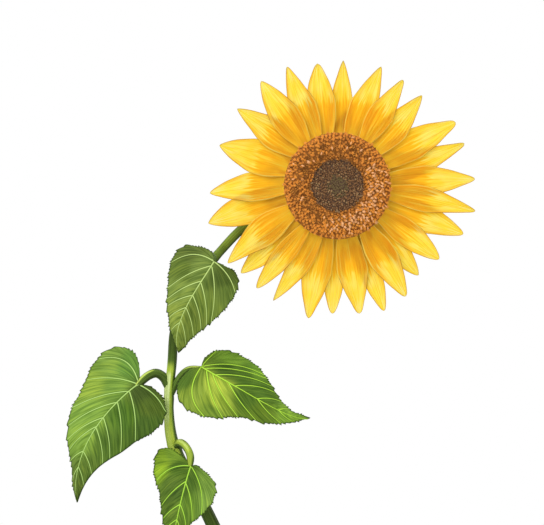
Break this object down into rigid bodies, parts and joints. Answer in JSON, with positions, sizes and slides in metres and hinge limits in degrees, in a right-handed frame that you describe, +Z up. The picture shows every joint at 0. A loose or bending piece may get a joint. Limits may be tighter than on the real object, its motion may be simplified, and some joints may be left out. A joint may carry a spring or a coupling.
{
  "type": "sunflower plant",
  "caption": "Rooted dwarf sunflower with a leaning, winding stem, heart-shaped saw-edged leaves on stalks and one large yellow flower that faces the front.",
  "frame": {"origin": "centre of the flat cut under the stem, at ground level", "axes": "+Z up, +X to the right of the flower's face, -Y the way the flower faces"},
  "size_m": [0.3423, 0.1498, 0.5877],
  "materials": {
    "stem_green": "matt green stalk skin, finely ribbed and hairy, paler along its light side",
    "leaf_green": "matt leaf blade, quilted between light yellow-green veins",
    "calyx_green": "matt green, downy, with pointed bracts",
    "petal_yellow": "satin petal, fine lengthwise ribs, orange-yellow at the root and pale yellow at the tip",
    "disc_brown": "rough brown and orange florets",
    "heart_dark": "matt dark brown buds, olive in the middle"
  },
  "bodies": {
    "root": {"stem": "stem_green", "neck": "stem_green", "calyx": "calyx_green", "disc": "disc_brown", "disc_heart": "heart_dark", "leaf_1": "leaf_green", "leaf_2": "leaf_green", "leaf_3": "leaf_green", "leaf_4": "leaf_green", "leaf_5": "leaf_green", "leaf_6": "leaf_green", "leaf_7": "leaf_green", "leaf_8": "leaf_green", "stalk_1": "stem_green", "stalk_2": "stem_green", "stalk_3": "stem_green", "stalk_4": "stem_green", "stalk_5": "stem_green", "stalk_6": "stem_green", "stalk_7": "stem_green", "stalk_8": "stem_green", "petal_01": "petal_yellow", "petal_02": "petal_yellow", "petal_03": "petal_yellow", "petal_04": "petal_yellow", "petal_05": "petal_yellow", "petal_06": "petal_yellow", "petal_07": "petal_yellow", "petal_08": "petal_yellow", "petal_09": "petal_yellow", "petal_10": "petal_yellow", "petal_11": "petal_yellow", "petal_12": "petal_yellow", "petal_13": "petal_yellow", "petal_14": "petal_yellow", "petal_15": "petal_yellow", "petal_16": "petal_yellow", "petal_17": "petal_yellow", "petal_18": "petal_yellow", "petal_19": "petal_yellow", "petal_20": "petal_yellow", "petal_21": "petal_yellow", "petal_22": "petal_yellow", "petal_23": "petal_yellow", "petal_24": "petal_yellow", "petal_25": "petal_yellow", "petal_26": "petal_yellow", "petal_27": "petal_yellow"}
  },
  "joints": []
}
